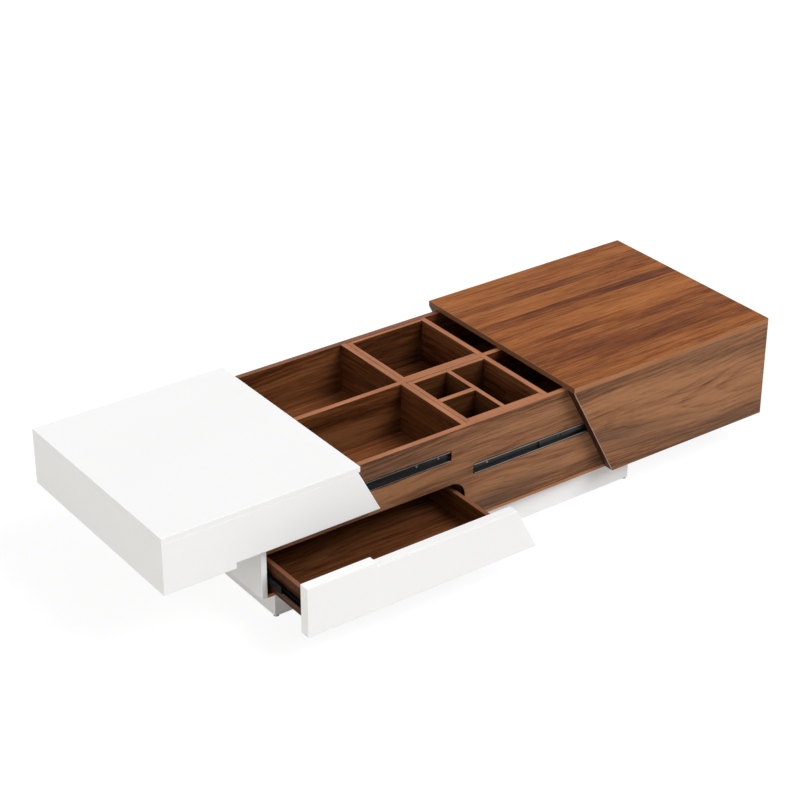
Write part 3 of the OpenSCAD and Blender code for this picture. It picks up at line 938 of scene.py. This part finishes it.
    @staticmethod
    def settle(piece: bpy.types.Object, node: str, body: str, slot: str) -> bpy.types.Object:
        """Puts a piece on its body in place of its node.

        Args:
            piece: The new piece.
            node: The node that it stands for.
            body: The body that it rides on.
            slot: The record's material slot; not used.

        Returns:
            The same piece.
        """
        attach(piece, body)
        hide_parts(node)
        log.info("%s rides on %s", piece.name, body)
        return piece


@dataclass
class Cover:
    """A sliding cover: a top board on a front, a rear and an end board."""

    kind: CoverKind
    tone: float = 0.93
    ease_top: float = 0.9 * MM
    ease_side: float = 1.1 * MM

    def build(self, joinery: Joinery) -> None:
        """Makes the cover's boards, with the seam at the end that meets the other cover.

        Args:
            joinery: What makes the boards.
        """
        make, seam = (joinery.white, 1) if self.kind is CoverKind.WHITE else (joinery.walnut, -1)
        word = self.kind.value
        boards = (Board(f"{word}_top", face=Face.LEVEL, banding=Banding.ALL, seam=seam, ease=self.ease_top),
                  Board(f"{word}_front", tone=self.tone, lining=1, seam=seam, ease=self.ease_side),
                  Board(f"{word}_rear", tone=self.tone, lining=-1, seam=seam, ease=self.ease_side),
                  Board(f"{word}_end", Grain.ACROSS_TABLE, Face.END, lining=seam))
        for board in boards:
            make(board, f"{word}_cover")


@dataclass
class Carcass:
    """The fixed body: panels, floor, partitions and the white panel beside the drawer."""

    panel_tone: float = 0.84
    # Painted shade: the partitions and inner walls are darkened to this share.
    wall_painted_shade: float = 0.56
    floor_tone: float = 0.8

    def build(self, joinery: Joinery) -> None:
        """Makes the fixed boards.

        Args:
            joinery: What makes the boards.
        """
        across, upper = Grain.ACROSS_TABLE, Banding.UPPER
        boards = (
            Board("front_panel", banding=upper, lining=1, tone=self.panel_tone, cut_painted_shade=True),
            Board("rear_panel", banding=upper, lining=-1, tone=self.panel_tone, cut_painted_shade=True, painted_shade_on_rim=True),
            Board("left_end_panel", across, Face.END, upper, lining=1),
            Board("right_end_panel", across, Face.END, upper, lining=-1),
            Board("storage_floor", face=Face.LEVEL, tone=self.floor_tone, inner=True),
            Board("bottom_board", face=Face.LEVEL, banding=Banding.ALL),
            Board("left_partition", across, Face.END, upper, self.wall_painted_shade, True),
            Board("right_partition", across, Face.END, upper, self.wall_painted_shade, True),
            Board("centre_divider", banding=upper, tone=self.wall_painted_shade, inner=True),
            Board("drawer_bay_wall", across, Face.END, tone=self.wall_painted_shade, inner=True),
        )
        for board in boards:
            joinery.walnut(board, "table_body")
        joinery.white(Board("side_panel", across, Face.END), "table_body")


@dataclass
class Trays:
    """The two trays of the middle bay and the walls that split the front one."""

    # Painted shade: the trays are darkened to these shares, the front one more.
    back_painted_shade: float = 0.46
    front_painted_shade: float = 0.32

    def build(self, joinery: Joinery) -> None:
        """Makes the boards of both trays.

        Args:
            joinery: What makes the boards.
        """
        across, upper = Grain.ACROSS_TABLE, Banding.UPPER
        boards = [Board("cell_wall_long", across, Face.END, upper, self.front_painted_shade, True),
                  Board("cell_wall_short", banding=upper, tone=self.front_painted_shade, inner=True)]
        for tray, tone in (("back_tray", self.back_painted_shade), ("front_tray", self.front_painted_shade)):
            boards += [Board(f"{tray}_bottom", face=Face.LEVEL, tone=tone, inner=True),
                       Board(f"{tray}_left", across, Face.END, upper, tone, True),
                       Board(f"{tray}_back", banding=upper, tone=tone, inner=True),
                       Board(f"{tray}_front", banding=upper, tone=tone, inner=True)]
        for board in boards:
            joinery.walnut(board, "table_body")


@dataclass
class Plinth:
    """The white plinth and its floor glides."""

    sides: tuple[str, ...] = ("front", "rear", "left", "right", "stretcher")

    def build(self, joinery: Joinery) -> None:
        """Makes the plinth boards and gives the frame's glides their finish.

        Args:
            joinery: What makes the boards.
        """
        for side in self.sides:
            joinery.white(Board(f"plinth_{side}"), "table_body")
        glides = joinery.frame["nodes"]["floor_glides"].data
        glides.materials.clear()
        glides.materials.append(joinery.finishes.rubber)


@dataclass
class DrawerBox:
    """The drawer: a white front on a walnut box."""

    # Painted shade: the box's sides and back, and its bottom, are darkened to these shares.
    tone: float = 0.4
    floor_tone: float = 0.52
    ease_front: float = 0.9 * MM

    def build(self, joinery: Joinery) -> None:
        """Makes the drawer's boards.

        Args:
            joinery: What makes the boards.
        """
        joinery.white(Board("drawer_front", ease=self.ease_front), "drawer")
        for side in ("left", "right"):
            joinery.walnut(Board(f"drawer_{side}_side", Grain.ACROSS_TABLE, Face.END, Banding.UPPER, self.tone, True,
                                 painted_shade_on_rim=True), "drawer")
        joinery.walnut(Board("drawer_back", banding=Banding.UPPER, tone=self.tone, inner=True, painted_shade_on_rim=True), "drawer")
        joinery.walnut(Board("drawer_bottom", face=Face.LEVEL, tone=self.floor_tone, inner=True), "drawer")


@dataclass(frozen=True)
class SlideRun:
    """The slides of one moving piece: its body, the first word of their names, their sides and their direction."""

    mover: str
    word: str
    sides: tuple[str, str]
    grain: Grain

    @property
    def open_axis(self) -> int:
        """The axis that the channels' open sides look along."""
        return 1 if self.grain is Grain.ALONG_TABLE else 0


@dataclass
class SlideSet:
    """The ball-bearing slides: eased black sections, with a painted highlight on the channels' lips, and the drawer's
    in a duller black darkened as painted shade.
    """

    ease: float = 0.2 * MM
    lip_gap: float = 0.4 * MM
    runs: tuple[SlideRun, ...] = (SlideRun("white_cover", "white", ("front", "rear"), Grain.ALONG_TABLE),
                                  SlideRun("walnut_cover", "walnut", ("front", "rear"), Grain.ALONG_TABLE),
                                  SlideRun("drawer", "drawer", ("left", "right"), Grain.ACROSS_TABLE))

    def build(self, joinery: Joinery) -> None:
        """Makes the members of every slide: the fixed channels, the middle members and the rails.

        Args:
            joinery: What makes eased copies.
        """
        for run in self.runs:
            channels = self.member(joinery, f"{run.word}_slide_channels", "table_body", run.grain)
            self.paint_lip_highlights(channels.data, run.open_axis)
            for side in run.sides:
                middle = f"{run.word}_{side}_middle"
                self.member(joinery, middle, f"{middle}_body", run.grain)
            for side in run.sides:
                self.member(joinery, f"{run.word}_{side}_rail", run.mover, run.grain)

    def member(self, joinery: Joinery, node: str, body: str, grain: Grain) -> bpy.types.Object:
        """Makes one member, or a pair of them in one node.

        Args:
            joinery: What makes eased copies.
            node: The member's node.
            body: The body that it rides on.
            grain: The direction that it was drawn in.

        Returns:
            The new piece.
        """
        piece = joinery.eased_copy(node, f"{node}_section", self.ease)
        # The drawer's slides, drawn across the table, take the black darkened as painted shade.
        piece.data.materials.append(joinery.finishes.black[grain])
        # The second slot, light steel, is the painted highlight of the lips.
        piece.data.materials.append(joinery.finishes.lip_highlight[grain])
        return joinery.settle(piece, node, body, "black_steel")

    def paint_lip_highlights(self, mesh: bpy.types.Mesh, axis: int) -> None:
        """Gives a light steel, a painted highlight, to the narrow faces of the lips, which close the open side of a
        channel.

        Of the faces that are square to the open side, the largest is a channel's web. The lips' outer faces
        lie at the other end from it: farthest from the middle between both channels, or nearest to it.

        Args:
            mesh: The channels' mesh.
            axis: The axis that their open sides look along.
        """
        normals, centres, areas = face_arrays(mesh)
        place = centres[:, axis]
        reach = np.abs(place - (place.min() + place.max()) / 2.0)
        flat = np.abs(normals[:, axis]) > SQUARE
        web = reach[flat][np.argmax(areas[flat])]
        nearest, farthest = float(reach[flat].min()), float(reach[flat].max())
        lip = farthest if abs(web - nearest) < abs(web - farthest) else nearest
        mesh.polygons.foreach_set("material_index", (flat & (np.abs(reach - lip) < self.lip_gap)).astype(np.int32))


@dataclass
class ScrewSet:
    """Pan-head screws with a cross recess and a rolled thread, in the places of the frame's plain ones.

    The thread's half width is a share of its pitch, and the tip's end a share of the shank. The dome's drop is a
    share of the head's thickness, and the recess's reach a share of its radius. Corners lie on the head's rim
    within rim_gap of it, and on the shank where they are more than head_step inside it.
    """

    segments: int = 40
    head_rings: int = 12
    shank_rings: int = 30
    thread_pitch: float = 1.3 * MM
    thread_depth: float = 0.45 * MM
    thread_half: float = 0.3
    tip_length: float = 2.2 * MM
    tip_width: float = 0.02
    dome: float = 0.45
    recess_depth: float = 0.75 * MM
    recess_half: float = 0.42 * MM
    recess_slope: float = 0.16 * MM
    recess_reach: float = 0.6
    pole_radius: float = 0.004 * MM
    rim_gap: float = 0.05 * MM
    head_step: float = 0.5 * MM
    nodes: tuple[tuple[str, str], ...] = (("channel_screws", "table_body"), ("white_rail_screws", "white_cover"),
                                          ("walnut_rail_screws", "walnut_cover"), ("drawer_rail_screws", "drawer"))

    def build(self, joinery: Joinery) -> None:
        """Makes every screw of the four nodes.

        Args:
            joinery: What holds the frame and the finishes.
        """
        for node, body in self.nodes:
            points, faces, start = [], [], 0
            for corners in self.solids(joinery.frame["nodes"][node].data):
                grid, quads = self.screw(corners)
                points.append(grid)
                faces.extend((quads + start).tolist())
                start += len(grid)
            mesh = bpy.data.meshes.new(f"{node}_turned")
            mesh.from_pydata(np.vstack(points).tolist(), [], faces)
            mesh.materials.append(joinery.finishes.zinc)
            mesh.polygons.foreach_set("use_smooth", [True] * len(mesh.polygons))
            piece = put_in_scene(f"{node}_turned", mesh)
            self.close_poles(mesh)
            joinery.settle(piece, node, body, "zinc_screw")

    @staticmethod
    def close_poles(mesh: bpy.types.Mesh) -> None:
        """Fills the small holes that rings leave at their ends, and turns every face outward.

        Args:
            mesh: The screws' mesh.
        """
        form = bmesh.new()
        form.from_mesh(mesh)
        bmesh.ops.holes_fill(form, edges=form.edges, sides=0)
        bmesh.ops.recalc_face_normals(form, faces=form.faces)
        form.to_mesh(mesh)
        form.free()

    @staticmethod
    def solids(mesh: bpy.types.Mesh) -> list[np.ndarray]:
        """Splits a node's mesh into its separate solids.

        Each point takes the lowest number among its neighbours, over and over, until each solid has one number.

        Args:
            mesh: The node's mesh.

        Returns:
            The corner points of each solid.
        """
        points = np.empty(len(mesh.vertices) * 3, np.float32)
        mesh.vertices.foreach_get("co", points)
        points = points.reshape(-1, 3).astype(np.float64)
        edges = np.empty(len(mesh.edges) * 2, np.int32)
        mesh.edges.foreach_get("vertices", edges)
        keys, same = np.unique(np.round(points / WELD_GAP).astype(np.int64), axis=0, return_inverse=True)
        same = same.reshape(-1)
        group = np.arange(len(keys))
        pairs = same[edges.reshape(-1, 2)]
        while True:
            least = np.minimum(group[pairs[:, 0]], group[pairs[:, 1]])
            updated = group.copy()
            np.minimum.at(updated, pairs[:, 0], least)
            np.minimum.at(updated, pairs[:, 1], least)
            updated = updated[updated]
            if np.array_equal(updated, group):
                return [points[group[same] == label] for label in np.unique(group)]
            group = updated

    def screw(self, corners: np.ndarray) -> tuple[np.ndarray, np.ndarray]:
        """Makes one screw where a plain one stands.

        The axis is the one about which most corners lie on the rim of the head. Each ring of points has a
        radius and a depth below the head's top: the thread's ridge climbs by one pitch in each turn, and the
        tip tapers evenly.

        Args:
            corners: The plain screw's corner points.

        Returns:
            The new points, and the quads that join them.
        """
        low, high = corners.min(axis=0), corners.max(axis=0)
        middle = (low + high) / 2.0
        spans = [np.linalg.norm(np.delete(corners - middle, axis, axis=1), axis=1) for axis in range(3)]
        axis = int(np.argmax([(span > span.max() - self.rim_gap).mean() for span in spans]))
        off_axis = spans[axis]
        head_radius = float(off_axis.max())
        wide = corners[off_axis > head_radius - self.rim_gap][:, axis]
        head_at_high = wide.mean() > middle[axis]
        top = float(high[axis] if head_at_high else low[axis])
        inward = -1.0 if head_at_high else 1.0
        length = float(high[axis] - low[axis])
        head_depth = float(np.ptp(wide))
        core = float(off_axis[off_axis < head_radius - self.head_step].max()) - self.thread_depth
        angle = np.arange(self.segments) * (2.0 * math.pi / self.segments)
        rings = [self.head_ring(share, angle, head_radius, head_depth)
                 for share in np.linspace(0.0, 1.0, self.head_rings)]
        rings.append((np.full_like(angle, head_radius), np.full_like(angle, head_depth)))
        tip = length - self.tip_length
        for depth in np.linspace(head_depth, length, self.shank_rings):
            taper = 1.0 if depth < tip else max(self.tip_width, (length - depth) / (length - tip))
            turn = (depth / self.thread_pitch - angle / (2.0 * math.pi)) % 1.0
            ridge = np.maximum(0.0, 1.0 - np.abs(turn - 0.5) / self.thread_half)
            rings.append(((core + self.thread_depth * ridge) * taper, np.full_like(angle, depth)))
        radii, depths = (np.array(values) for values in zip(*rings))
        grid = np.empty((*radii.shape, 3))
        first, second = sorted({0, 1, 2} - {axis})
        grid[..., axis] = top + inward * depths
        grid[..., first] = middle[first] + radii * np.cos(angle)
        grid[..., second] = middle[second] + radii * np.sin(angle)
        here = np.arange(radii.size).reshape(radii.shape)
        right, below = np.roll(here, -1, axis=1), np.roll(here, -1, axis=0)
        corner = np.roll(below, -1, axis=1)
        quads = np.stack([here[:-1], right[:-1], corner[:-1], below[:-1]], axis=-1).reshape(-1, 4)
        return grid.reshape(-1, 3), quads

    def head_ring(self, share: float, angle: np.ndarray, radius: float,
                  depth: float) -> tuple[np.ndarray, np.ndarray]:
        """Gives one ring of the head's domed face, sunk where the cross recess lies.

        The dome falls with the fourth power of the share. A point lies in the recess where the smaller of its
        distances from the head's two middle lines is under recess_half, and the recess gets shallower outward.

        Args:
            share: How far out the ring lies, from the middle to the rim.
            angle: The angles of its points.
            radius: The head's radius.
            depth: The head's thickness.

        Returns:
            The radii and the depths below the head's top.
        """
        reach = np.full_like(angle, max(radius * share, self.pole_radius))
        arm = np.minimum(np.abs(reach * np.cos(angle)), np.abs(reach * np.sin(angle)))
        inside = np.clip((self.recess_half - arm) / self.recess_slope, 0.0, 1.0) * float(share < self.recess_reach)
        return reach, self.dome * depth * share ** 4 + inside * self.recess_depth * (1.0 - share)


@dataclass(frozen=True)
class Lamp:
    """A broad soft sun: its strength, where it shines from, its apparent size in degrees, and its tint."""

    name: str
    strength: float
    source: Place
    size: float
    tint: Colour

    def hang(self) -> None:
        """Hangs the lamp."""
        lamp = bpy.data.lights.new(self.name, "SUN")
        lamp.energy = self.strength
        lamp.angle = math.radians(self.size)
        lamp.color = self.tint
        put_in_scene(self.name, lamp).rotation_euler = Vector(self.source).to_track_quat("Z", "Y").to_euler()


@dataclass
class Studio:
    """Camera, lights and floor, as a white product studio has them.

    Angles are in degrees, and the focal length is in pixels of the picture. The floor throws light at the table
    with floor_bounce, and shows the camera floor_seen and a glow.
    """

    camera_place: Place = (-2.78026, -3.82923, 2.90623)
    azimuth: float = -35.9101
    elevation: float = 28.8722
    roll: float = 0.062
    focal_px: float = 2168.09
    picture_px: float = 800.0
    sensor_width: float = 36.0
    sight: float = 60.0
    lamps: tuple[Lamp, ...] = (Lamp("key", 2.45, (0.40, -0.56, 0.73), 35.0, (0.99, 0.995, 1.0)),
                               Lamp("fill", 1.15, (-0.97, -0.05, 0.26), 60.0, (1.0, 0.96, 0.9)))
    sky_strength: float = 0.37
    floor_reach: float = 30.0
    floor_bounce: Colour = (0.62, 0.607, 0.585)
    floor_seen: Colour = (0.16, 0.16, 0.16)
    floor_glow: float = 0.9
    floor_roughness: float = 0.9

    def build(self) -> None:
        """Makes the camera, the lights, the world and the floor."""
        self.camera()
        self.world()
        for lamp in self.lamps:
            lamp.hang()
        self.floor()

    def camera(self) -> None:
        """Sets the camera: its back looks along (sin a cos e, -cos a cos e, sin e)."""
        made = bpy.data.cameras.new("camera")
        made.sensor_width = self.sensor_width
        made.lens = self.focal_px * self.sensor_width / self.picture_px
        made.clip_end = self.sight
        holder = put_in_scene("camera", made)
        turn = (Matrix.Rotation(math.radians(self.azimuth), 4, "Z")
                @ Matrix.Rotation(math.radians(90.0 - self.elevation), 4, "X")
                @ Matrix.Rotation(math.radians(self.roll), 4, "Z"))
        holder.matrix_world = Matrix.Translation(self.camera_place) @ turn
        bpy.context.scene.camera = holder

    def world(self) -> None:
        """Sets an even white sky, at full white where the camera or a reflection looks at it."""
        made = bpy.data.worlds.new("studio")
        made.use_nodes = True
        tree = made.node_tree
        tree.nodes.clear()
        path = tree.nodes.new("ShaderNodeLightPath")
        seen = tree.nodes.new("ShaderNodeMath")
        seen.operation = "MAXIMUM"
        tree.links.new(path.outputs["Is Camera Ray"], seen.inputs[0])
        tree.links.new(path.outputs["Is Glossy Ray"], seen.inputs[1])
        level = tree.nodes.new("ShaderNodeMix")
        tree.links.new(seen.outputs[0], level.inputs["Factor"])
        level.inputs["A"].default_value = self.sky_strength
        level.inputs["B"].default_value = 1.0
        sky = tree.nodes.new("ShaderNodeBackground")
        sky.inputs["Color"].default_value = (1.0, 1.0, 1.0, 1.0)
        tree.links.new(level.outputs["Result"], sky.inputs["Strength"])
        output = tree.nodes.new("ShaderNodeOutputWorld")
        tree.links.new(sky.outputs[0], output.inputs["Surface"])
        bpy.context.scene.world = made

    def floor(self) -> None:
        """Lays a pale floor that looks white from the camera and keeps the table's soft shadow."""
        corners = np.array([(-1.0, -1.0, 0.0), (1.0, -1.0, 0.0), (1.0, 1.0, 0.0), (-1.0, 1.0, 0.0)])
        mesh = bpy.data.meshes.new("studio_floor")
        mesh.from_pydata((corners * self.floor_reach).tolist(), [], [(0, 1, 2, 3)])
        plane = put_in_scene("studio_floor", mesh)
        sheet = ShaderSheet("studio_floor", self.floor_roughness, specular_ior_level=0.0)
        path = sheet.node("LightPath")
        seen = sheet.math("MAXIMUM", path.outputs["Is Camera Ray"], path.outputs["Is Glossy Ray"])
        sheet.colour(sheet.blend(seen, self.floor_bounce, self.floor_seen))
        sheet.feed(sheet.shader.inputs["Emission Color"], (1.0, 1.0, 1.0))
        sheet.feed(sheet.shader.inputs["Emission Strength"], sheet.times(seen, self.floor_glow))
        mesh.materials.append(sheet.material)


def main() -> None:
    """Builds the scene around the frame."""
    logging.basicConfig(level=logging.INFO, format="%(name)s: %(message)s")
    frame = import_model()
    bpy.context.scene.view_settings.view_transform = "Standard"
    Studio().build()
    joinery = Joinery(frame, Finishes())
    covers = (Cover(kind) for kind in CoverKind)
    for part in (*covers, Carcass(), Trays(), Plinth(), DrawerBox(), SlideSet(), ScrewSet()):
        part.build(joinery)


if __name__ == "__main__":
    main()
